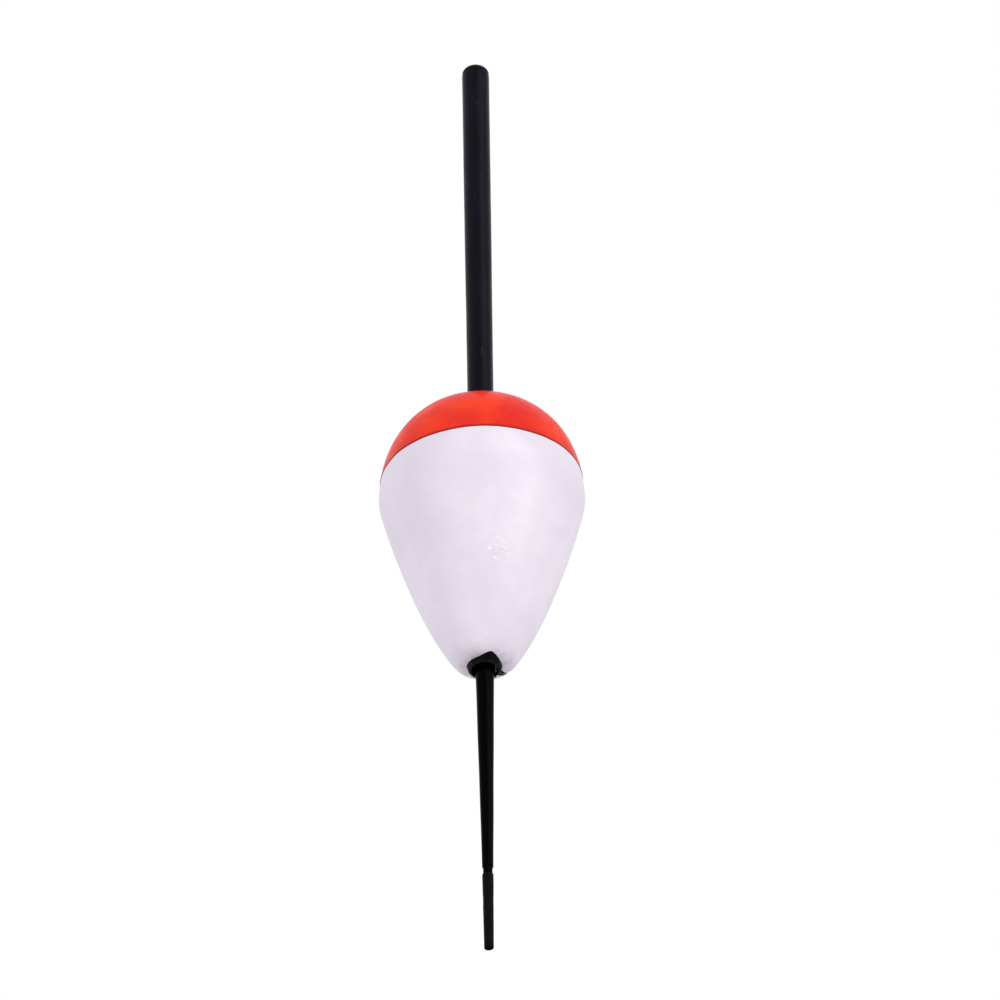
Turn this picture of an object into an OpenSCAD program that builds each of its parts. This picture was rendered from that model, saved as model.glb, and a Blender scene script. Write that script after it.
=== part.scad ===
// Slotted peg float for fishing.
//
// A pear-shaped foam body carries a white skin and a red top coat. A split
// plastic tube lines its bore. A long two-piece stick passes through the bore
// and pins the fishing line against it, and a soft sleeve on the stick's tip
// holds the line in below. The stick pulls out upwards and the sleeve slides
// off downwards.
//
// The Z axis is the float's axis and points up as it floats. The origin lies
// on the axis at the waterline, which is the lower edge of the red coat. The
// line slit opens towards +X. Everything is in millimetres.

/* [Body] */
// Largest diameter of the body
body_d = 38; // [34:0.5:44]
// Height of the crown above the widest ring
crown_h = 20.2; // [18:0.1:24]
// Depth below the widest ring at which the flank turns into the foot
flank_drop = 35.9; // [33:0.1:37]
// Height of the waterline above the widest ring
waterline_h = 4.3; // [2:0.1:8]
// Radius of the rounded edge around the foot
foot_round = 1.2; // [0.6:0.1:1.4]
// Thickness of the white skin
skin_t = 0.25; // [0.15:0.05:0.5]
// Thickness of the red top coat
paint_t = 0.1; // [0.05:0.05:0.2]
// Width of the slit that lets the line into the bore
slit_w = 0.6; // [0.4:0.1:1.5]

/* [Bore liner] */
// Outer diameter of the liner tube
liner_d = 5.6; // [5.5:0.1:5.9]
// Diameter of the collar at the liner's lower end
collar_d = 6.2; // [6.1:0.1:7.4]
// Height of the collar, which stands below the foot
collar_h = 0.9; // [0.6:0.1:2]

/* [Stick] */
// Diameter of the upper tube along its straight top
tube_d = 5.1; // [4.9:0.1:5.4]
// Height of the tube's upper end above the waterline
tube_top = 93.2; // [70:0.1:120]
// Height at which the tube's slow taper starts
tube_straight_z = 55; // [40:1:60]
// Depth of the tube's lower end below the waterline, inside the body
tube_end_depth = 16; // [10:1:20]
// Diameter of the tube at its lower end
tube_end_d = 4.7; // [4.6:0.05:4.8]
// Diameter of the hole in the tube
tube_bore_d = 3.9; // [3.4:0.1:4]
// Height of the domed plug above the end of the tube
dome_h = 1.8; // [1:0.1:2.5]
// Diameter of the lower stem just below the tube
stem_d = 4.2; // [4.1:0.1:4.4]
// Depth of the stem's lower shoulder below the waterline
shoulder_depth = 85; // [75:0.1:95]
// Diameter of the stem at its lower shoulder
shoulder_d = 2.1; // [2:0.1:2.6]

/* [Line sleeve] */
// Diameter of the pin that the sleeve grips
pin_d = 1.2; // [1:0.05:1.3]
// Length of the sleeve
sleeve_l = 16.1; // [10:0.1:20]
// Diameter of the sleeve at its upper end
sleeve_top_d = 2.1; // [2:0.02:2.6]
// Diameter of the sleeve at its lower end
sleeve_tip_d = 1.8; // [1.7:0.02:2]

/* [Fits] */
// Radial clearance of the stick at the tight upper end of the bore
stick_gap = 0.04; // [0.02:0.01:0.1]
// Radial clearance of the sleeve on its pin
sleeve_gap = 0.03; // [0.02:0.01:0.06]

/* [Hidden] */
$fn = 96;
arc_step = 6;
edge_step = 15;
over = 1;

// Shape of the body's outline. Each stretch is a quarter of a superellipse:
// the crown is a little fuller than a half-ellipse, and the flank is nearly a
// cone that would close on the axis at depth flank_h if the foot didn't end it.
crown_p = 2.1;
crown_q = 2.5;
flank_p = 1.08;
flank_q = 1.68;
flank_h = 40.75;

body_r = body_d / 2;
ring_z = -waterline_h;
crown_z = ring_z + crown_h;

liner_r = liner_d / 2;
collar_r = collar_d / 2;
lip_round = 0.3;

tube_r = tube_d / 2;
tube_bore_r = tube_bore_d / 2;
tube_end_r = tube_end_d / 2;
tube_end_z = -tube_end_depth;
rim_cut = 0.06;
rim_l = 0.8;
rim_r = tube_r - rim_cut;

// The liner's bore fits the tube where the tube enters the crown
tube_slope = (tube_r - tube_end_r) / (tube_straight_z - tube_end_z);
tube_neck_r = tube_end_r + tube_slope * (crown_z - tube_end_z);
liner_bore_r = tube_neck_r + stick_gap;

plug_l = 7;
plug_hollow_r = 1.1;
plug_roof = 1;
spigot_l = 14;
spigot_lead = 0.5;

shoulder_z = -shoulder_depth;
shoulder_r = shoulder_d / 2;
shoulder_cut = 0.15;
pin_r = pin_d / 2;
groove_w = 1.2;
groove_r = 0.86;
seat_z = shoulder_z - groove_w;
sleeve_seat_gap = 0.05;
sleeve_top_z = seat_z - sleeve_seat_gap;
sleeve_end_z = sleeve_top_z - sleeve_l;
sleeve_round = 0.2;

// The pin stops short of the sleeve's lower end
pin_inset = 0.9;
pin_lead = 0.2;
pin_end_z = sleeve_end_z + pin_inset;

function reverse(list) = [for (i = [len(list) - 1 : -1 : 0]) list[i]];

// Angles from a to b in equal steps of about step, both ends included
function sweep(a, b, step = arc_step) =
    let (n = max(1, ceil(abs(b - a) / step)))
    [for (i = [0 : n]) a + (b - a) * i / n];

// Points on a small arc of radius r around centre c
function arc(c, r, a, b) = [for (t = sweep(a, b, edge_step)) c + r * [cos(t), sin(t)]];

// A point of the outline above the widest ring, and one below it. The angle is
// 0 at the ring and 90 where the curve would close on the axis.
function crown_point(a) =
    [body_r * pow(cos(a), 2 / crown_q), ring_z + crown_h * pow(sin(a), 2 / crown_p)];
function flank_point(a) =
    [body_r * pow(cos(a), 2 / flank_q), ring_z - flank_h * pow(sin(a), 2 / flank_p)];

// Angles at which the outline reaches the liner, the waterline and the foot
bore_a = acos(pow(liner_r / body_r, crown_q / 2));
water_a = asin(pow(waterline_h / crown_h, crown_p / 2));
foot_a = asin(pow(flank_drop / flank_h, flank_p / 2));

// The edge of the foot is an arc that meets the flank without a crease
flank_end = flank_point(foot_a);
flank_run = flank_point(foot_a - 1) - flank_end;
lean = atan(flank_run[0] / flank_run[1]);
edge_centre = flank_end - foot_round * [cos(lean), -sin(lean)];
foot_z = edge_centre[1] - foot_round;

crown_above = concat([[liner_r - over, crown_point(bore_a)[1]]],
                     [for (a = sweep(bore_a, water_a)) crown_point(a)]);
crown_below = [for (a = sweep(water_a, 0)) if (a < water_a) crown_point(a)];
flank = [for (a = sweep(0, foot_a)) if (a > 0) flank_point(a)];
foot_edge = arc(edge_centre, foot_round, -lean - edge_step, -90);
outline = concat(crown_above, crown_below, flank, foot_edge, [[liner_r - over, foot_z]]);

// The direction into the body at point i of a path that runs down its outside
function inward(path, i) =
    let (a = path[max(i - 1, 0)],
         b = path[min(i + 1, len(path) - 1)],
         run = (b - a) / norm(b - a))
    [run[1], -run[0]];
function inset(path, depth) = [for (i = [0 : len(path) - 1]) path[i] + depth * inward(path, i)];

// The closed section of a layer that reaches from depth a to depth b
function layer(path, a, b) = concat(inset(path, a), reverse(inset(path, b)));

// The slit runs the whole height of the body, from its surface to the bore
module slit() {
    low_z = foot_z - collar_h - over;
    high_z = crown_z + paint_t + over;
    translate([0, -slit_w / 2, low_z]) cube([body_r + over, slit_w, high_z - low_z]);
}

// Turns a section of the body and cuts the hole for the liner and the slit
module body_layer(section) {
    difference() {
        rotate_extrude() polygon(section);
        translate([0, 0, foot_z - over]) cylinder(r = liner_r, h = crown_z - foot_z + 2 * over);
        slit();
    }
}

module foam_core() {
    color("white") body_layer(inset(outline, skin_t));
}

module base_coat() {
    color([0.93, 0.91, 0.94]) body_layer(layer(outline, 0, skin_t));
}

module cap_coat() {
    color([0.89, 0.2, 0.16]) body_layer(layer(crown_above, -paint_t, 0));
}

// A plain tube through the body with a collar under the foot
module bore_liner() {
    collar_z = foot_z - collar_h;
    top_z = crown_z + paint_t;
    color([0.06, 0.06, 0.07]) difference() {
        rotate_extrude() polygon(concat(
            [[liner_bore_r, top_z], [liner_r, top_z], [liner_r, foot_z], [collar_r, foot_z]],
            arc([collar_r - lip_round, collar_z + lip_round], lip_round, 0, -90),
            [[liner_bore_r, collar_z]]));
        slit();
    }
}

module upper_tube() {
    color([0.11, 0.1, 0.12]) rotate_extrude() polygon([
        [tube_bore_r, tube_top],
        [rim_r, tube_top],
        [tube_r, tube_top - rim_l],
        [tube_r, tube_straight_z],
        [tube_end_r, tube_end_z],
        [tube_bore_r, tube_end_z]]);
}

// A dome that closes the tube, on a hollow spigot glued inside it
module top_plug() {
    plug_end_z = tube_top - plug_l;
    color([0.13, 0.12, 0.14]) rotate_extrude() polygon(concat(
        [for (a = sweep(90, 0)) [rim_r * cos(a), tube_top + dome_h * sin(a)]],
        [[tube_bore_r, tube_top],
         [tube_bore_r, plug_end_z + spigot_lead],
         [tube_bore_r - spigot_lead / 2, plug_end_z],
         [plug_hollow_r, plug_end_z],
         [plug_hollow_r, tube_top - plug_roof],
         [0, tube_top]]));
}

// The tapered stem: a spigot in the tube, a long cone, a groove and a pin
module lower_stem() {
    spigot_z = tube_end_z + spigot_l;
    color([0.05, 0.05, 0.06]) rotate_extrude() polygon([
        [0, spigot_z],
        [tube_bore_r - spigot_lead / 2, spigot_z],
        [tube_bore_r, spigot_z - spigot_lead],
        [tube_bore_r, tube_end_z],
        [stem_d / 2, tube_end_z],
        [shoulder_r, shoulder_z + shoulder_cut],
        [shoulder_r - shoulder_cut, shoulder_z],
        [groove_r, shoulder_z],
        [groove_r, seat_z],
        [pin_r, seat_z],
        [pin_r, pin_end_z + pin_lead],
        [pin_r - pin_lead, pin_end_z],
        [0, pin_end_z]]);
}

// A soft tapered sleeve that slides on the pin
module line_sleeve() {
    hole_r = pin_r + sleeve_gap;
    top_r = sleeve_top_d / 2;
    tip_r = sleeve_tip_d / 2;
    color([0.08, 0.08, 0.09]) rotate_extrude() polygon(concat(
        [[hole_r, sleeve_end_z]],
        arc([tip_r - sleeve_round, sleeve_end_z + sleeve_round], sleeve_round, -90, 0),
        arc([top_r - sleeve_round, sleeve_top_z - sleeve_round], sleeve_round, 0, 90),
        [[hole_r, sleeve_top_z]]));
}

foam_core();
base_coat();
cap_coat();
bore_liner();
upper_tube();
top_plug();
lower_stem();
line_sleeve();
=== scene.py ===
"""Looks for the peg float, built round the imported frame. Metres, +Z up, origin at the waterline."""
import math

import bpy
import numpy as np
from mathutils import Matrix, Vector, kdtree
from mathutils.bvhtree import BVHTree

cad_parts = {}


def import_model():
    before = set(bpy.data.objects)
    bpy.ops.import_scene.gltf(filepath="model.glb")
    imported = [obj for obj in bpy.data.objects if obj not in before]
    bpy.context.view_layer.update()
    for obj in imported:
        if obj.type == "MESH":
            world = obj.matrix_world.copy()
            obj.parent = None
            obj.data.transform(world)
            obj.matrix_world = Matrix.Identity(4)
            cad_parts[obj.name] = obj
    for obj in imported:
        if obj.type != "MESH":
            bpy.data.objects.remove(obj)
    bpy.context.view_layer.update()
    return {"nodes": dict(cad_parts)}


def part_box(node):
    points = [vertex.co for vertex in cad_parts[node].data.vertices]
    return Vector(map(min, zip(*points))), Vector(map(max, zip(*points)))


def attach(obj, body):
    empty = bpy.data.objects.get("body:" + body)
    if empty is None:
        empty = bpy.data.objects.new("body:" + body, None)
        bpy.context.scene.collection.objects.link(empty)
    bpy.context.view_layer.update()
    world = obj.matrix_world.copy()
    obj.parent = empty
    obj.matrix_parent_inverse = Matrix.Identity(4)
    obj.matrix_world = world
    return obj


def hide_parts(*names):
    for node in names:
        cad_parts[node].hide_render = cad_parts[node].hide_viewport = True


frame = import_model()

MM = 0.001
TAU = 2 * math.pi

# The view is from below, with the slit behind on the right, and leans slightly
VIEW_AZIMUTH = math.radians(-40)
VIEW_ELEVATION = math.radians(-35)
VIEW_ROLL = math.radians(-0.93)
VIEW_WIDTH = 183.73 * MM
LENS = 600
# Where the middle of the view lies from the origin, to the right and up
AIM_RIGHT = 3.29 * MM
AIM_UP = -3.03 * MM

# Polar angle of the side that faces the camera
FACING = VIEW_AZIMUTH - math.radians(90)


# ------------------------------------------------------------------ reading the frame

def tree_of(node):
    """A search tree of a CAD node's surface."""
    mesh = frame["nodes"][node].data
    return BVHTree.FromPolygons([v.co[:] for v in mesh.vertices], [p.vertices[:] for p in mesh.polygons])


def hit(tree, start, toward):
    """The first point of a surface from start in a direction, as (radius, height)."""
    where = tree.ray_cast(Vector(start), Vector(toward).normalized())[0]
    return math.hypot(where.x, where.y), where.z


def outer_radius(tree, z):
    """A node's outside radius at a height, measured opposite the slit."""
    return hit(tree, (-1, 0, z), (1, 0, 0))[0]


def bore_radius(tree, z):
    """A node's bore radius at a height, measured opposite the slit."""
    return hit(tree, (0, 0, z), (-1, 0, 0))[0]


skin_tree = tree_of("base_coat")
liner_tree = tree_of("bore_liner")
foot_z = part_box("base_coat")[0].z
crown_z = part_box("base_coat")[1].z
ring_r = -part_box("base_coat")[0].x
water_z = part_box("cap_coat")[0].z
paint_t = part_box("cap_coat")[1].z - crown_z
liner_r = outer_radius(liner_tree, 0)
liner_bore_r = bore_radius(liner_tree, 0)
collar_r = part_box("bore_liner")[1].y
collar_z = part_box("bore_liner")[0].z
skin_t = outer_radius(skin_tree, water_z) - outer_radius(tree_of("foam_core"), water_z)
slit_w = 2 * min(abs(v.co.y) for v in frame["nodes"]["base_coat"].data.vertices if v.co.x > liner_r)


# ------------------------------------------------------------------ paths and noise

def blurred(values, width):
    """Values smoothed along their run. The ends stay where they are."""
    reach = np.arange(-3 * width, 3 * width + 1)
    weights = np.exp(-0.5 * (reach / width) ** 2)
    before = 2 * values[0] - values[3 * width:0:-1]
    after = 2 * values[-1] - values[-2:-3 * width - 2:-1]
    return np.convolve(np.concatenate([before, values, after]), weights / weights.sum(), mode="valid")


class Path:
    """A line of (radius, height) points that is read by the length along it."""

    def __init__(self, points):
        self.points = np.array(points, float)
        steps = np.linalg.norm(np.diff(self.points, axis=0), axis=1)
        self.along = np.concatenate([[0], np.cumsum(steps)])
        self.length = self.along[-1]
        run = np.gradient(self.points, self.along, axis=0)
        self.out = np.stack([-run[:, 1], run[:, 0]], axis=1)

    def point(self, s):
        return [np.interp(s, self.along, self.points[:, k]) for k in (0, 1)]

    def outward(self, s):
        r, z = [np.interp(s, self.along, self.out[:, k]) for k in (0, 1)]
        size = np.hypot(r, z)
        return r / size, z / size

    def length_at(self, z):
        """The length at which the path, going down, reaches a height."""
        return float(np.interp(-z, -self.points[:, 1], self.along))


def body_path():
    """The body's outline from the liner at the crown to the liner at the foot."""
    samples = 900
    ring_z = max(np.linspace(foot_z + MM, crown_z - MM, 400), key=lambda z: outer_radius(skin_tree, z))
    first = math.atan2(crown_z - ring_z, liner_r)
    last = math.atan2(foot_z - ring_z, liner_r)
    points = []
    for a in np.linspace(first, last, samples)[1:-1]:
        far = Vector((-math.cos(a), 0, math.sin(a)))
        points.append(hit(skin_tree, Vector((0, 0, ring_z)) + 0.2 * far, -far))
    points = np.array([(liner_r, crown_z)] + points + [(liner_r, foot_z)])
    return Path(np.stack([blurred(points[:, 0], 7), blurred(points[:, 1], 7)], axis=1))


def eased(corners, steps=5):
    """A path through (radius, height, rounding) corners, in millimetres, as metres."""
    path = []
    for i, (r, z, rounding) in enumerate(corners):
        here = np.array([r, z])
        if rounding == 0:
            path.append(here)
            continue
        ends = []
        for other in (corners[i - 1], corners[(i + 1) % len(corners)]):
            run = np.array(other[:2]) - here
            ends.append(here + run * min(0.48, rounding / np.linalg.norm(run)))
        for t in np.linspace(0, 1, steps):
            path.append((1 - t) ** 2 * ends[0] + 2 * t * (1 - t) * here + t ** 2 * ends[1])
    return np.array(path) * MM


def refined(path, step, closed):
    """The same path with points no more than step apart."""
    result = []
    count = len(path) if closed else len(path) - 1
    for i in range(count):
        a, b = path[i], path[(i + 1) % len(path)]
        n = max(1, math.ceil(np.linalg.norm(b - a) / step))
        result.extend(a + (b - a) * k / n for k in range(n))
    if not closed:
        result.append(path[-1])
    return np.array(result)


def lumps(points, size, seed, waves=20):
    """Smooth random noise of about -1 to 1 with features of a size, over (..., 3) points."""
    draw = np.random.default_rng(seed)
    k = draw.normal(size=(waves, 3))
    k *= (TAU / size * draw.uniform(0.55, 1.3, waves) / np.linalg.norm(k, axis=1))[:, None]
    phase = draw.uniform(0, TAU, waves)
    total = np.zeros(points.shape[:-1])
    for w in range(waves):
        total += np.cos(points @ k[w] + phase[w])
    return total / math.sqrt(waves * 0.5) * 0.5


def bead_centres(size, seed):
    """Centres of foam beads packed through the body's box, as a search tree."""
    draw = np.random.default_rng(seed)
    spots = []
    for kz, z in enumerate(np.arange(foot_z - size, crown_z + size, size * 0.82)):
        for ky, y in enumerate(np.arange(-ring_r, ring_r + size, size * 0.87)):
            for x in np.arange(-ring_r, ring_r + size, size):
                spots.append((x + size * 0.5 * ((ky + kz) % 2), y + size * 0.29 * (kz % 2), z))
    spots = np.array(spots) + draw.uniform(-0.24, 0.24, (len(spots), 3)) * size
    tree = kdtree.KDTree(len(spots))
    for i, spot in enumerate(spots):
        tree.insert(spot, i)
    tree.balance()
    return tree


# Size of the foam's beads, and width of the seams between them
BEAD = 2.3 * MM
SEAM = 0.5 * MM
beads = bead_centres(BEAD, 11)


def seams(points, width):
    """1 on the seams between foam beads, falling to 0 within a width of them."""
    flat = points.reshape(-1, 3)
    result = np.empty(len(flat))
    for i, p in enumerate(flat):
        near = beads.find_n(p, 2)
        result[i] = max(0.0, 1 - (near[1][2] - near[0][2]) / width)
    return (result ** 2).reshape(points.shape[:-1])


# ------------------------------------------------------------------ building meshes

def finished(name, verts, faces, body, sharp=35):
    """A smooth-shaded object from mesh data that stands for a CAD node and rides its body."""
    mesh = bpy.data.meshes.new(name)
    mesh.from_pydata([tuple(v) for v in verts], [], faces)
    mesh.validate()
    mesh.shade_smooth()
    mesh.set_sharp_from_angle(angle=math.radians(sharp))
    mesh.update()
    piece = bpy.data.objects.new(name, mesh)
    bpy.context.scene.collection.objects.link(piece)
    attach(piece, body)
    return piece


def quads(index):
    """The faces between neighbours in a 2-D array of vertex numbers."""
    a, b, c, d = index[:-1, :-1], index[:-1, 1:], index[1:, 1:], index[1:, :-1]
    return np.stack([a, b, c, d], axis=-1).reshape(-1, 4).tolist()


def block(outer, inner, layers=1):
    """Vertices and faces of the closed solid between two grids of points, outer and inner.

    The grids go down in rows and round in columns. The solid has layers steps from outer to inner.
    """
    t = np.linspace(0, 1, layers + 1)[None, None, :, None]
    grid = outer[:, :, None] * (1 - t) + inner[:, :, None] * t
    edge = np.zeros(grid.shape[:3], bool)
    edge[[0, -1]] = True
    edge[:, [0, -1]] = True
    edge[:, :, [0, -1]] = True
    number = np.full(grid.shape[:3], -1)
    number[edge] = np.arange(edge.sum())
    sides = [number[:, ::-1, 0], number[:, :, -1],
             number[0], number[-1, ::-1],
             number[:, 0, ::-1], number[:, -1]]
    faces = [face for side in sides for face in quads(side)]
    return grid[edge], faces, edge


def spin(path, columns, gap=0.0):
    """Vertices and faces of a path turned round the axis.

    A path that starts and ends on the axis closes there, and any other path is a closed loop. With a
    gap, the turn leaves a slit of that width open at +X, and a flat face closes each side of it.
    """
    capped = path[0][0] < 1e-9 and path[-1][0] < 1e-9
    rings = path[1:-1] if capped else path
    turn = np.linspace(0, 1, columns + (1 if gap else 0), endpoint=bool(gap))
    half = np.arcsin(gap / 2 / rings[:, 0])[:, None]
    angle = half + (TAU - 2 * half) * turn[None, :]
    verts = np.stack([rings[:, :1] * np.cos(angle), rings[:, :1] * np.sin(angle),
                      np.repeat(rings[:, 1:], angle.shape[1], axis=1)], axis=-1)
    number = np.arange(verts.shape[0] * verts.shape[1]).reshape(verts.shape[:2])
    wrapped = number if gap else np.concatenate([number, number[:, :1]], axis=1)
    if not capped:
        wrapped = np.concatenate([wrapped, wrapped[:1]], axis=0)
    faces = quads(wrapped[:, ::-1])
    verts = verts.reshape(-1, 3)
    if gap:
        faces += [number[::-1, 0].tolist(), number[:, -1].tolist()]
    if capped:
        top, bottom = len(verts), len(verts) + 1
        verts = np.concatenate([verts, [(0, 0, path[0][1]), (0, 0, path[-1][1])]])
        faces += [(top, wrapped[0, j], wrapped[0, j + 1]) for j in range(columns)]
        faces += [(bottom, wrapped[-1, j + 1], wrapped[-1, j]) for j in range(columns)]
    return verts, faces


def radially(verts, amount):
    """Vertices moved away from the axis by an amount each."""
    radius = np.maximum(np.hypot(verts[:, 0], verts[:, 1]), 1e-9)
    moved = verts.copy()
    moved[:, :2] *= (1 + amount / radius)[:, None]
    return moved


def mark(piece, name, values):
    """Stores a number for each vertex, for the piece's material to read."""
    layer = piece.data.attributes.new(name, "FLOAT", "POINT")
    layer.data.foreach_set("value", np.ascontiguousarray(values, np.float32))


# ------------------------------------------------------------------ the body's layers

outline = body_path()
WATERLINE = outline.length_at(water_z)

# Columns round the body, closer together beside the slit
SIDE = np.array([0, 0.0012, 0.0026, 0.0045, 0.007, 0.0105, 0.015])
ROUND = np.concatenate([SIDE, np.linspace(0.02, 0.98, 289), 1 - SIDE[::-1]])

# The dip wasn't quite level: the red reaches a little low, most of all on the camera's left
DIP_LOW = 0.15 * MM
DIP_TILT = 0.28 * MM

# A small scuff on the side that faces the camera: its distance below the waterline and its
# height along the outline, and its polar angle and half-width in radians
SCUFF_DEPTH = 24.4 * MM
SCUFF_HEIGHT = 1.7 * MM
SCUFF_TURN = FACING + math.radians(10)
SCUFF_WIDTH = 0.16

# The slit's lips round off, and their edges wander
LIP_DROP = 0.13 * MM
LIP_REACH = 0.38 * MM
RAGGED = 0.07 * MM


def angles(s):
    """Polar angles of each row's columns, from one ragged lip of the slit round to the other."""
    r, z = outline.point(s)
    down = np.stack([z, 0 * z, 0 * z], axis=-1)
    first = slit_w / 2 + RAGGED * (lumps(down, 5 * MM, 3) + 0.5 * lumps(down, 1.3 * MM, 4))
    last = slit_w / 2 + RAGGED * (lumps(down, 4 * MM, 5) + 0.5 * lumps(down, 1.1 * MM, 6))
    start = np.arcsin(np.maximum(first, slit_w * 0.3) / r)[:, None]
    end = TAU - np.arcsin(np.maximum(last, slit_w * 0.3) / r)[:, None]
    return start + (end - start) * ROUND[None, :]


def unevenness(points):
    """How far the body's surface lies under its ideal outline: moulding lumps and faint beads."""
    broad = 0.045 * (lumps(points, 17 * MM, 21) - 0.9) + 0.016 * (lumps(points, 4 * MM, 22) - 0.9)
    return broad * MM - 0.010 * MM * seams(points, SEAM)


def surface(s, angle, lift):
    """Points on the body at lengths s down the outline, at angles, raised by lift along the normal."""
    r, z = outline.point(s)
    nr, nz = outline.outward(s)
    base = np.stack([r * np.cos(angle), r * np.sin(angle), z + 0 * angle], axis=-1)
    out = np.stack([nr * np.cos(angle), nr * np.sin(angle), nz + 0 * angle], axis=-1)
    to_lip = np.where(base[..., 0] > 0, np.maximum(np.abs(base[..., 1]) - slit_w / 2, 0), 1)
    lip = LIP_DROP * np.exp(-(to_lip / LIP_REACH) ** 2)
    return base + out * (unevenness(base) + lift - lip)[..., None]


def rows(first, last, step):
    """Evenly spaced lengths from first to last, about a step apart."""
    return np.linspace(first, last, max(2, round((last - first) / step)))


def build_skin():
    s = rows(0, outline.length, 0.34 * MM)
    turn = angles(s)
    down = s[:, None] + 0 * turn
    verts, faces, edge = block(surface(down, turn, 0.0), surface(down, turn, -skin_t))
    skin = finished("white_skin", verts, faces, "float_body")
    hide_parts("base_coat")
    # Painted shade: a mask that darkens the white towards the foot, ending 7 mm above it
    to_foot = (outline.length - down) / MM
    foot_shade_reach = 7
    painted_foot_shade = np.clip(1 - to_foot / foot_shade_reach, 0, 1) ** 2
    worn = np.exp(-((down - WATERLINE - SCUFF_DEPTH) / SCUFF_HEIGHT) ** 2)
    worn *= np.exp(-((turn - TAU - SCUFF_TURN) / SCUFF_WIDTH) ** 2)
    for name, amount in (("painted_foot_shade", painted_foot_shade), ("scuff", worn)):
        mark(skin, name, np.repeat(amount[:, :, None], 2, axis=2)[edge])
    return skin


def build_cap():
    """The dipped red coat. Its lower edge wanders a little and stands up as a soft bead."""
    share = np.concatenate([np.linspace(0, 0.93, 96), 1 - 0.07 * np.linspace(1, 0, 15)[1:] ** 1.6])
    middle = angles(np.full(1, WATERLINE))[0]
    ring = np.stack([np.cos(middle), np.sin(middle), 0 * middle], axis=-1) * ring_r
    end = WATERLINE + 0.08 * MM * lumps(ring, 16 * MM, 31) + 0.05 * MM * lumps(ring, 5 * MM, 32)
    end += DIP_LOW + DIP_TILT * np.cos(middle - FACING + math.radians(90))
    down = share[:, None] * end[None, :]
    turn = angles(share * WATERLINE)
    to_edge = (end[None, :] - down) / MM
    bead = 0.5 + 0.5 * np.exp(-((to_edge - 0.35) / 0.3) ** 2)
    swell = np.sqrt(np.clip(1 - (1 - np.minimum(to_edge / 0.22, 1)) ** 2, 0, 1))
    lift = paint_t * bead * (0.06 + 0.94 * swell)
    verts, faces, edge = block(surface(down, turn, lift), surface(down, turn, -0.02 * MM))
    cap = finished("red_cap", verts, faces, "float_body")
    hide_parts("cap_coat")
    # The band along the lower edge is marked so that the material darkens it as painted shade under the
    # bead
    near = np.exp(-(to_edge / 0.45) ** 2)
    mark(cap, "edge", np.repeat(near[:, :, None], 2, axis=2)[edge])
    return cap


def build_foam():
    """The foam under the skin. Its beads show on the walls of the slit."""
    s = rows(0, outline.length, 0.42 * MM)
    turn = angles(s)
    down = s[:, None] + 0 * turn
    outer = surface(down, turn, -skin_t - 0.01 * MM)
    inner = outer.copy()
    size = np.hypot(inner[..., 0], inner[..., 1])
    inner[..., :2] *= (liner_r / size)[..., None]
    half = np.abs(np.sin(turn)) * outline.point(down)[0]
    for column in (0, -1):
        side = np.sign(inner[:, column, 1])
        inner[:, column, 1] = side * half[:, column]
        inner[:, column, 0] = np.sqrt(liner_r ** 2 - half[:, column] ** 2)
    inner[0, :, 2] = outer[0, :, 2]
    layers = 26
    verts, faces, edge = block(outer, inner, layers)
    wall = np.zeros(edge.shape, bool)
    wall[1:-1, [0, -1], 1:-1] = True
    wall = wall[edge]
    dent = 0.10 * seams(verts[wall], SEAM) + 0.02 * np.abs(lumps(verts[wall], 0.8 * MM, 41))
    verts[wall, 1] += np.sign(verts[wall, 1]) * dent * MM
    foam = finished("foam_body", verts, faces, "float_body")
    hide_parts("foam_core")
    return foam


def build_liner():
    """The split tube in the bore, with its rounded collar under the foot."""
    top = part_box("bore_liner")[1].z / MM
    bore, tube, collar = liner_bore_r / MM, liner_r / MM, collar_r / MM
    foot, end = foot_z / MM, collar_z / MM
    loop = eased([(bore, top, 0.12), (tube, top, 0.12), (tube, foot, 0), (collar, foot, 0.12),
                  (collar, end, 0.3), (bore, end, 0.2)])
    loop = refined(loop, 0.5 * MM, closed=True)
    verts, faces = spin(loop, 160, slit_w)
    low = verts[:, 2] < foot_z + 0.01 * MM
    rim = np.hypot(verts[:, 0], verts[:, 1]) > liner_r + 0.1 * MM
    verts = radially(verts, np.where(low & rim, 0.05 * MM * (lumps(verts, 2.2 * MM, 51) - 1), 0))
    liner = finished("bore_tube", verts, faces, "float_body")
    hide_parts("bore_liner")
    return liner


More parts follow.
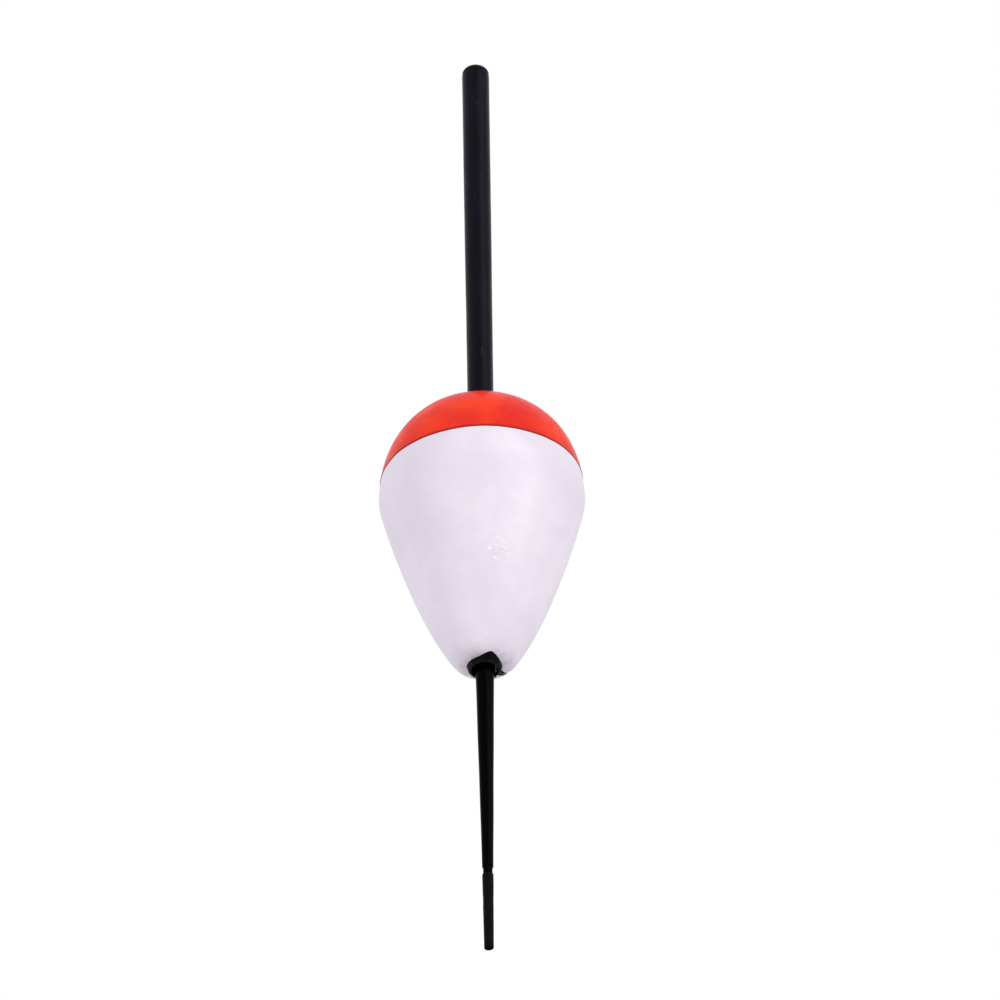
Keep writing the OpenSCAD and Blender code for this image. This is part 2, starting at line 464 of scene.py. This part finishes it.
def build_seal():
    """The black glue that seats the collar, split at the slit.

    It has one run up over the foot's edge, and it has crept out along both sides of the slit.
    """
    start = outline.length - (collar_r - liner_r - 0.15 * MM)
    half = math.asin((slit_w / 2 + 0.02 * MM) / collar_r)
    beside = half + SIDE * 6
    turn = np.concatenate([beside, np.linspace(0.22, TAU - 0.22, 230), TAU - beside[::-1]])
    run_angle = FACING + math.radians(15)
    to_run = (turn - run_angle + math.pi) % TAU - math.pi
    to_slit = np.minimum(turn, TAU - turn)
    ring = np.stack([np.cos(turn), np.sin(turn), 0 * turn], axis=-1) * collar_r
    spread = 0.13 + 0.08 * lumps(ring, 3 * MM, 61)
    spread += 1.6 * np.exp(-(np.abs(to_run) / 0.42) ** 1.5) + 3.0 * np.exp(-(to_slit / 0.2) ** 2)
    reach = np.linspace(0, 1, 17)[:, None] ** 0.8
    down = start - reach * (spread * MM + 0.15 * MM)[None, :]
    # A tongue keeps its width as it runs out, beside the slit
    r_start, r_here = outline.point(start)[0], outline.point(down)[0]
    turn = np.repeat(turn[None, :], len(reach), axis=0)
    near = np.exp(-(to_slit / 0.5) ** 2)[None, :]
    centred = (turn + math.pi) % TAU - math.pi
    turn = turn + near * centred * (r_start / r_here - 1)
    thick = (0.02 + 0.42 * (1 - reach) ** 2 + 0.13 * np.sqrt(np.clip(1 - reach ** 2, 0, 1))) * MM
    top = surface(down, turn, thick + 0 * down)
    under = surface(down, turn, -0.06 * MM + 0 * down)
    verts, faces, _ = block(top[::-1], under[::-1])
    return finished("collar_glue", verts, faces, "float_body")


# ------------------------------------------------------------------ the stick and the sleeve

def build_tube():
    """The extruded upper tube, with faint die lines and a softened rim."""
    tree = tree_of("upper_tube")
    low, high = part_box("upper_tube")
    top, end = high.z / MM, low.z / MM
    rim_r = outer_radius(tree, high.z - 0.02 * MM) / MM
    wide_r = -low.x / MM
    end_r = outer_radius(tree, low.z + 0.02 * MM) / MM
    bore = bore_radius(tree, 0.5 * (low.z + high.z)) / MM
    straight = max(z for z in np.arange(end, top, 0.25)
                   if outer_radius(tree, z * MM) < (wide_r - 0.004) * MM)
    loop = eased([(bore, top, 0), (rim_r, top, 0.12), (wide_r, top - 0.8, 0.6), (wide_r, straight, 8),
                  (end_r, end, 0.2), (bore, end, 0.1)])
    verts, faces = spin(refined(loop, 0.9 * MM, closed=True), 128)
    angle = np.arctan2(verts[:, 1], verts[:, 0])
    along = np.stack([np.cos(angle), np.sin(angle), 0.1 * verts[:, 2]], axis=-1)
    lines = 0.006 * lumps(along, 0.12, 71)
    waves = 0.012 * (lumps(verts, 30 * MM, 72) - 1)
    outside = np.hypot(verts[:, 0], verts[:, 1]) > (bore + 0.1) * MM
    verts = radially(verts, np.where(outside, (lines + waves) * MM, 0))
    tube = finished("stick_tube", verts, faces, "stick")
    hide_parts("upper_tube")
    return tube


def build_plug():
    """The domed plug, with a fine seam where it meets the tube and the mark of its moulding gate."""
    tree = tree_of("top_plug")
    low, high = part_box("top_plug")
    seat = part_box("upper_tube")[1].z / MM
    rim_r = high.y / MM
    spigot_r = outer_radius(tree, (seat - 3) * MM) / MM
    dome_h = high.z / MM - seat
    end = low.z / MM
    hollow_r = 0.56 * spigot_r
    dome = [(rim_r * math.cos(a), seat + 0.16 + (dome_h - 0.16) * math.sin(a), 0)
            for a in np.radians(np.linspace(80, 3, 24))]
    top = high.z / MM
    gate = [(0, top - 0.12, 0), (0.28, top - 0.10, 0.1), (0.36, top, 0.06)]
    foot = [(rim_r, seat + 0.10, 0.05), (rim_r - 0.12, seat, 0.05), (spigot_r, seat, 0),
            (spigot_r, end + 0.5, 0.1), (spigot_r - 0.25, end, 0.1),
            (hollow_r, end, 0.1), (hollow_r, seat - 1, 0.2), (0, seat - 0.7, 0)]
    path = eased(gate + dome + foot)
    verts, faces = spin(path, 96)
    plug = finished("stick_plug", verts, faces, "stick", sharp=50)
    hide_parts("top_plug")
    return plug


def build_stem():
    """The moulded lower stem, with the fine parting line of its mould along two sides."""
    tree = tree_of("lower_stem")
    low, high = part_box("lower_stem")
    tube_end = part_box("upper_tube")[0].z / MM
    sleeve_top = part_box("line_sleeve")[1].z / MM
    spigot_r = outer_radius(tree, (tube_end + 4) * MM) / MM
    neck_r = outer_radius(tree, (tube_end - 0.05) * MM) / MM
    levels = np.arange(sleeve_top, sleeve_top + 4, 0.02)
    radii = np.array([outer_radius(tree, z * MM) / MM for z in levels])
    shoulder_r = radii.max()
    shoulder = levels[np.argmax(radii > shoulder_r - 0.08)]
    groove_r = radii[np.searchsorted(levels, 0.5 * (sleeve_top + shoulder))]
    pin_r = outer_radius(tree, (low.z / MM + 3) * MM) / MM
    shoulder_r = outer_radius(tree, (shoulder + 0.6) * MM) / MM
    seat = sleeve_top + 0.05
    top, end = high.z / MM, low.z / MM
    spigot = [(0, top, 0), (spigot_r - 0.25, top, 0.2), (spigot_r, top - 0.5, 0.2),
              (spigot_r, tube_end, 0)]
    cone = [(neck_r, tube_end, 0.05), (shoulder_r, shoulder + 0.25, 0.25),
            (groove_r, shoulder - 0.05, 0.15)]
    pin = [(groove_r, seat, 0.06), (pin_r, seat, 0.03), (pin_r, end + 0.2, 0.1),
           (pin_r - 0.2, end, 0.1), (0, end, 0)]
    path = eased(spigot + cone + pin)
    verts, faces = spin(refined(path, 0.8 * MM, closed=False), 96)
    angle = np.arctan2(verts[:, 1], verts[:, 0])
    outside = (verts[:, 2] < tube_end * MM) & (verts[:, 2] > (shoulder + 0.2) * MM)
    ridge = 0.03 * np.exp(-(np.cos(angle) * np.hypot(verts[:, 0], verts[:, 1]) / (0.10 * MM)) ** 2)
    sink = 0.02 * (lumps(verts * [1, 1, 0.3], 4 * MM, 81) - 1)
    verts = radially(verts, np.where(outside, (ridge + sink) * MM, 0))
    stem = finished("stick_stem", verts, faces, "stick")
    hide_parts("lower_stem")
    return stem


def build_sleeve():
    """The soft sleeve on the tip, cut by hand, so its ends aren't quite square."""
    tree = tree_of("line_sleeve")
    low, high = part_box("line_sleeve")
    top, end = high.z / MM, low.z / MM
    hole = bore_radius(tree, 0.5 * (low.z + high.z)) / MM
    top_r = outer_radius(tree, high.z - 0.3 * MM) / MM
    tip_r = outer_radius(tree, low.z + 0.3 * MM) / MM
    loop = eased([(hole, top, 0.05), (top_r, top, 0.16), (tip_r, end, 0.16), (hole, end, 0.06)])
    verts, faces = spin(refined(loop, 0.5 * MM, closed=True), 72)
    to_end = (verts[:, 2] - low.z) / (high.z - low.z)
    verts[:, 2] += verts[:, 0] * 0.10 * np.exp(-to_end * 30) + 0.09 * MM * np.exp(-to_end * 30)
    verts[:, 2] -= (verts[:, 1] * 0.05 + 0.055 * MM) * np.exp(-(1 - to_end) * 30)
    outside = np.hypot(verts[:, 0], verts[:, 1]) > (hole + 0.08) * MM
    verts = radially(verts, np.where(outside, 0.025 * MM * (lumps(verts, 3.5 * MM, 91) - 0.8), 0))
    sleeve = finished("tip_sleeve", verts, faces, "sleeve")
    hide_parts("line_sleeve")
    return sleeve


# ------------------------------------------------------------------ materials

class Shader:
    """A material under construction, with short ways to add its nodes."""

    def __init__(self, name, color, roughness, **sockets):
        self.material = bpy.data.materials.new(name)
        self.material.use_nodes = True
        self.nodes = self.material.node_tree.nodes
        self.links = self.material.node_tree.links
        self.bsdf = self.nodes["Principled BSDF"]
        self.bsdf.inputs["Base Color"].default_value = (*color, 1)
        self.bsdf.inputs["Roughness"].default_value = roughness
        for socket, value in sockets.items():
            self.bsdf.inputs[socket.replace("_", " ")].default_value = value
        self.place = self.nodes.new("ShaderNodeTexCoord").outputs["Object"]

    def add(self, kind, inputs=(), **settings):
        """A node with its inputs linked to sockets or set to values."""
        node = self.nodes.new(kind)
        for key, value in settings.items():
            setattr(node, key, value)
        for key, value in dict(inputs).items():
            if isinstance(value, bpy.types.NodeSocket):
                self.links.new(value, node.inputs[key])
            else:
                node.inputs[key].default_value = value
        return node

    def noise(self, size, detail=3.0, stretch=(1, 1, 1)):
        """Noise with features of a size in metres, stretched along the axes."""
        scale = [1 / (size * k) for k in stretch]
        place = self.add("ShaderNodeMapping", {"Vector": self.place, "Scale": scale})
        return self.add("ShaderNodeTexNoise", {"Vector": place.outputs[0], "Scale": 1.0, "Detail": detail,
                                               "Roughness": 0.55}).outputs["Fac"]

    def mask(self, value, low, high, floor=0.0, ceiling=1.0):
        """A value mapped from low..high to floor..ceiling, smoothly and held at both ends."""
        return self.add("ShaderNodeMapRange", {"Value": value, "From Min": low, "From Max": high,
                                               "To Min": floor, "To Max": ceiling},
                        interpolation_type="SMOOTHSTEP").outputs[0]

    def marked(self, name):
        """A number that the mesh stores for each vertex."""
        return self.add("ShaderNodeAttribute", attribute_name=name).outputs["Fac"]

    def times(self, a, b):
        return self.add("ShaderNodeMath", {0: a, 1: b}, operation="MULTIPLY").outputs[0]

    def plus(self, a, b):
        return self.add("ShaderNodeMath", {0: a, 1: b}, operation="ADD").outputs[0]

    def mix(self, fac, a, b):
        """Colour a where fac is 0 and b where it is 1."""
        node = self.add("ShaderNodeMix", data_type="RGBA")
        for socket, value in ((node.inputs[0], fac), (node.inputs[6], a), (node.inputs[7], b)):
            if isinstance(value, bpy.types.NodeSocket):
                self.links.new(value, socket)
            else:
                socket.default_value = value if isinstance(value, float) else (*value, 1)
        return node.outputs[2]

    def set(self, socket, value):
        self.links.new(value, self.bsdf.inputs[socket])

    def bumps(self, *heights):
        """Stacks bump maps, each a (height, depth in metres) pair."""
        normal = None
        for height, depth in heights:
            inputs = {"Height": height, "Distance": depth, "Strength": 1.0}
            if normal:
                inputs["Normal"] = normal
            normal = self.add("ShaderNodeBump", inputs).outputs[0]
        self.set("Normal", normal)


def white_paint():
    """Glossy white with a violet cast, darkened in patches towards the foot as painted shade, and chipped
    in one small place.
    """
    shader = Shader("white_lacquer", (0.80, 0.765, 0.82), 0.36, Coat_Weight=0.15, Coat_Roughness=0.2)
    tint = shader.mask(shader.noise(13 * MM, 2.0), 0.35, 0.65)
    color = shader.mix(tint, (0.775, 0.735, 0.80), (0.835, 0.805, 0.85))
    fine = shader.mask(shader.noise(2.2 * MM, 3.0), 0.4, 0.7, 0.0, 0.35)
    color = shader.mix(fine, color, (0.79, 0.735, 0.785))
    patches = shader.mask(shader.noise(1.6 * MM, 4.0), 0.3, 0.7, 0.15, 0.75)
    # Painted shade: dark greyish-pink patches towards the foot
    color = shader.mix(shader.times(shader.marked("painted_foot_shade"), patches), color, (0.42, 0.36, 0.37))
    flakes = shader.mask(shader.noise(0.9 * MM, 4.0, (1.5, 1.5, 0.9)), 0.5, 0.6)
    scuff = shader.times(shader.marked("scuff"), flakes)
    color = shader.mix(scuff, color, (0.96, 0.965, 0.97))
    nicks = shader.mask(shader.noise(0.55 * MM, 3.0, (1, 1, 1.6)), 0.58, 0.68, 0.0, 0.7)
    color = shader.mix(shader.times(shader.marked("scuff"), nicks), color, (0.55, 0.56, 0.56))
    shader.set("Base Color", color)
    rough = shader.mask(shader.noise(4 * MM, 4.0), 0.3, 0.7, 0.26, 0.42)
    shader.set("Roughness", shader.plus(rough, shader.times(scuff, 0.3)))
    hair = shader.mask(shader.noise(0.5 * MM, 2.0, (9, 9, 0.5)), 0.66, 0.72)
    shader.bumps((shader.noise(0.9 * MM, 2.0), 0.018 * MM), (shader.noise(0.16 * MM, 2.0), 0.004 * MM),
                 (hair, 0.004 * MM))
    return shader.material


def red_paint():
    """Red dip paint, thin and orange in places, and darkened along its beaded edge as painted shade under
    the bead.
    """
    shader = Shader("red_lacquer", (0.90, 0.04, 0.015), 0.3, Coat_Weight=0.02, Coat_Roughness=0.1,
                    Specular_IOR_Level=0.05)
    tint = shader.mask(shader.noise(9 * MM, 3.0), 0.35, 0.65)
    color = shader.mix(tint, (0.76, 0.028, 0.017), (0.90, 0.050, 0.013))
    thin = shader.mask(shader.noise(1.8 * MM, 4.0), 0.55, 0.75, 0.0, 0.3)
    color = shader.mix(thin, color, (0.86, 0.06, 0.03))
    # Painted shade: deep red-black along the bead at the lower edge
    color = shader.mix(shader.times(shader.marked("edge"), 0.85), color, (0.22, 0.008, 0.012))
    shader.set("Base Color", color)
    shader.set("Roughness", shader.mask(shader.noise(3 * MM, 4.0), 0.3, 0.7, 0.22, 0.36))
    shader.bumps((shader.noise(1.1 * MM, 2.0), 0.02 * MM), (shader.noise(0.2 * MM, 2.0), 0.003 * MM))
    return shader.material


def bare_foam():
    """Unpainted foam with fine cells."""
    shader = Shader("bare_foam", (0.86, 0.85, 0.83), 0.75, Subsurface_Weight=0.15,
                    Subsurface_Scale=1.5 * MM)
    cell_size = 0.35 * MM
    cells = shader.add("ShaderNodeTexVoronoi", {"Vector": shader.place, "Scale": 1 / cell_size}).outputs[0]
    tint = shader.mask(shader.noise(1.2 * MM, 3.0), 0.35, 0.7)
    shader.set("Base Color", shader.mix(tint, (0.80, 0.79, 0.76), (0.90, 0.89, 0.87)))
    shader.set("Roughness", shader.mask(cells, 0.1, 0.6, 0.6, 0.85))
    shader.bumps((cells, 0.03 * MM), (shader.noise(0.15 * MM, 3.0), 0.015 * MM))
    return shader.material


def black_plastic(name, dark, light, roughness, gloss, streak, dust):
    """Black moulded or drawn plastic. streak is the depth of its lines, dust how grey its marks are."""
    shader = Shader(name, dark, roughness, Specular_IOR_Level=gloss)
    mottle = shader.mask(shader.noise(6 * MM, 3.0, (1, 1, 3)), 0.35, 0.7)
    color = shader.mix(mottle, dark, light)
    marks = shader.mask(shader.noise(0.55 * MM, 5.0, (1, 1, 7)), 0.60, 0.74, 0.0, dust)
    color = shader.mix(marks, color, (0.20, 0.20, 0.21))
    shader.set("Base Color", color)
    uneven = shader.noise(2.5 * MM, 4.0, (1, 1, 4))
    base = shader.mask(uneven, 0.3, 0.7, roughness - 0.08, roughness + 0.08)
    shader.set("Roughness", shader.plus(base, shader.times(marks, 0.5)))
    lines = shader.noise(0.22 * MM, 2.0, (1, 1, 60))
    shader.bumps((lines, streak), (shader.noise(0.09 * MM, 2.0), 0.25 * streak))
    return shader.material


def black_rubber():
    """Soft matt rubber with a faint grey bloom."""
    shader = Shader("soft_rubber", (0.002, 0.002, 0.0022), 0.6, Sheen_Weight=0.015, Sheen_Roughness=0.4,
                    Specular_IOR_Level=0.06)
    bloom = shader.mask(shader.noise(1.5 * MM, 4.0), 0.45, 0.75, 0.0, 0.5)
    shader.set("Base Color", shader.mix(bloom, (0.0012, 0.0012, 0.0014), (0.005, 0.005, 0.0055)))
    shader.set("Roughness", shader.mask(shader.noise(0.8 * MM, 3.0), 0.3, 0.7, 0.5, 0.72))
    rings = shader.noise(0.9 * MM, 2.0, (1, 1, 0.4))
    shader.bumps((shader.noise(0.12 * MM, 3.0), 0.006 * MM), (rings, 0.01 * MM))
    return shader.material


def glue():
    """Shiny black glue."""
    shader = Shader("black_glue", (0.002, 0.001, 0.0015), 0.22, Coat_Weight=0.03, Coat_Roughness=0.1,
                    Specular_IOR_Level=0.05)
    tint = shader.mask(shader.noise(0.9 * MM, 3.0), 0.4, 0.7)
    shader.set("Base Color", shader.mix(tint, (0.0014, 0.0008, 0.0012), (0.004, 0.003, 0.0035)))
    shader.set("Roughness", shader.mask(shader.noise(0.6 * MM, 3.0), 0.3, 0.7, 0.16, 0.4))
    shader.bumps((shader.noise(0.5 * MM, 3.0), 0.03 * MM))
    return shader.material


# ------------------------------------------------------------------ the stage

def camera():
    """The camera, and the turn from world directions to its own before it rolls."""
    a, e = VIEW_AZIMUTH, VIEW_ELEVATION
    back = Vector((math.sin(a) * math.cos(e), -math.cos(a) * math.cos(e), math.sin(e)))
    level = (-back).to_track_quat("-Z", "Y")
    turn = level @ Matrix.Rotation(VIEW_ROLL, 4, "Z").to_quaternion()
    target = level @ Vector((AIM_RIGHT, AIM_UP, 0))
    data = bpy.data.cameras.new("camera")
    data.lens = LENS
    view = bpy.data.objects.new("camera", data)
    view.rotation_mode = "QUATERNION"
    view.rotation_quaternion = turn
    view.location = target + back * (VIEW_WIDTH * LENS / data.sensor_width)
    data.clip_start, data.clip_end = 0.1, 50
    bpy.context.scene.collection.objects.link(view)
    bpy.context.scene.camera = view
    return level


def softbox(name, level, right, up, back, size, watts, color):
    """A soft square light at a place given in the camera's own directions, aimed at the float."""
    data = bpy.data.lights.new(name, "AREA")
    data.size = size
    data.energy = watts
    data.color = color
    light = bpy.data.objects.new(name, data)
    light.location = level @ Vector((right, up, back))
    light.rotation_mode = "QUATERNION"
    light.rotation_quaternion = (-light.location).to_track_quat("-Z", "Y")
    light.visible_camera = False
    bpy.context.scene.collection.objects.link(light)


def world():
    """White to the camera, and a softer, faintly violet light on the float."""
    sky = bpy.data.worlds.new("studio")
    sky.use_nodes = True
    nodes, links = sky.node_tree.nodes, sky.node_tree.links
    nodes.clear()
    seen = nodes.new("ShaderNodeBackground")
    seen.inputs["Color"].default_value = (1, 1, 1, 1)
    lit = nodes.new("ShaderNodeBackground")
    lit.inputs["Color"].default_value = (0.97, 0.92, 1.0, 1)
    lit.inputs["Strength"].default_value = 0.86
    rays = nodes.new("ShaderNodeLightPath")
    mix = nodes.new("ShaderNodeMixShader")
    out = nodes.new("ShaderNodeOutputWorld")
    links.new(rays.outputs["Is Camera Ray"], mix.inputs[0])
    links.new(lit.outputs[0], mix.inputs[1])
    links.new(seen.outputs[0], mix.inputs[2])
    links.new(mix.outputs[0], out.inputs[0])
    bpy.context.scene.world = sky


def floor():
    """A plain pale floor, low enough for the camera to look up from above it."""
    half = 15.0
    level_z = -4.0
    mesh = bpy.data.meshes.new("floor")
    corners = [(-half, -half), (half, -half), (half, half), (-half, half)]
    mesh.from_pydata([(x, y, level_z) for x, y in corners], [], [(0, 1, 2, 3)])
    plane = bpy.data.objects.new("floor", mesh)
    bpy.context.scene.collection.objects.link(plane)
    shader = Shader("pale_floor", (0.9, 0.9, 0.9), 0.8)
    shader.set("Base Color", shader.mix(shader.noise(0.4, 2.0), (0.89, 0.89, 0.89), (0.92, 0.92, 0.92)))
    mesh.materials.append(shader.material)


def dress(piece, material):
    """Gives a piece its only material."""
    piece.data.materials.clear()
    piece.data.materials.append(material)


level = camera()
world()
floor()
softbox("key", level, right=1.7, up=1.7, back=1.1, size=1.9, watts=23, color=(1.0, 0.995, 0.965))
softbox("fill", level, right=-1.2, up=0.6, back=1.2, size=1.8, watts=4, color=(0.97, 0.94, 1.0))
bpy.context.scene.view_settings.view_transform = "Standard"

dress(build_skin(), white_paint())
dress(build_cap(), red_paint())
dress(build_foam(), bare_foam())
dress(build_liner(), black_plastic("liner_plastic", (0.002, 0.002, 0.003), (0.005, 0.005, 0.006),
                                   roughness=0.4, gloss=0.08, streak=0.004 * MM, dust=0.06))
dress(build_seal(), glue())
dress(build_tube(), black_plastic("tube_plastic", (0.0008, 0.0006, 0.0035), (0.0024, 0.002, 0.007),
                                  roughness=0.30, gloss=0.09, streak=0.005 * MM, dust=0.06))
dress(build_plug(), black_plastic("plug_plastic", (0.002, 0.0016, 0.0038), (0.0045, 0.004, 0.0065),
                                  roughness=0.4, gloss=0.08, streak=0.002 * MM, dust=0.1))
dress(build_stem(), black_plastic("stem_plastic", (0.0003, 0.0003, 0.0005), (0.0007, 0.0006, 0.0009),
                                  roughness=0.22, gloss=0.02, streak=0.0012 * MM, dust=0.02))
dress(build_sleeve(), black_rubber())
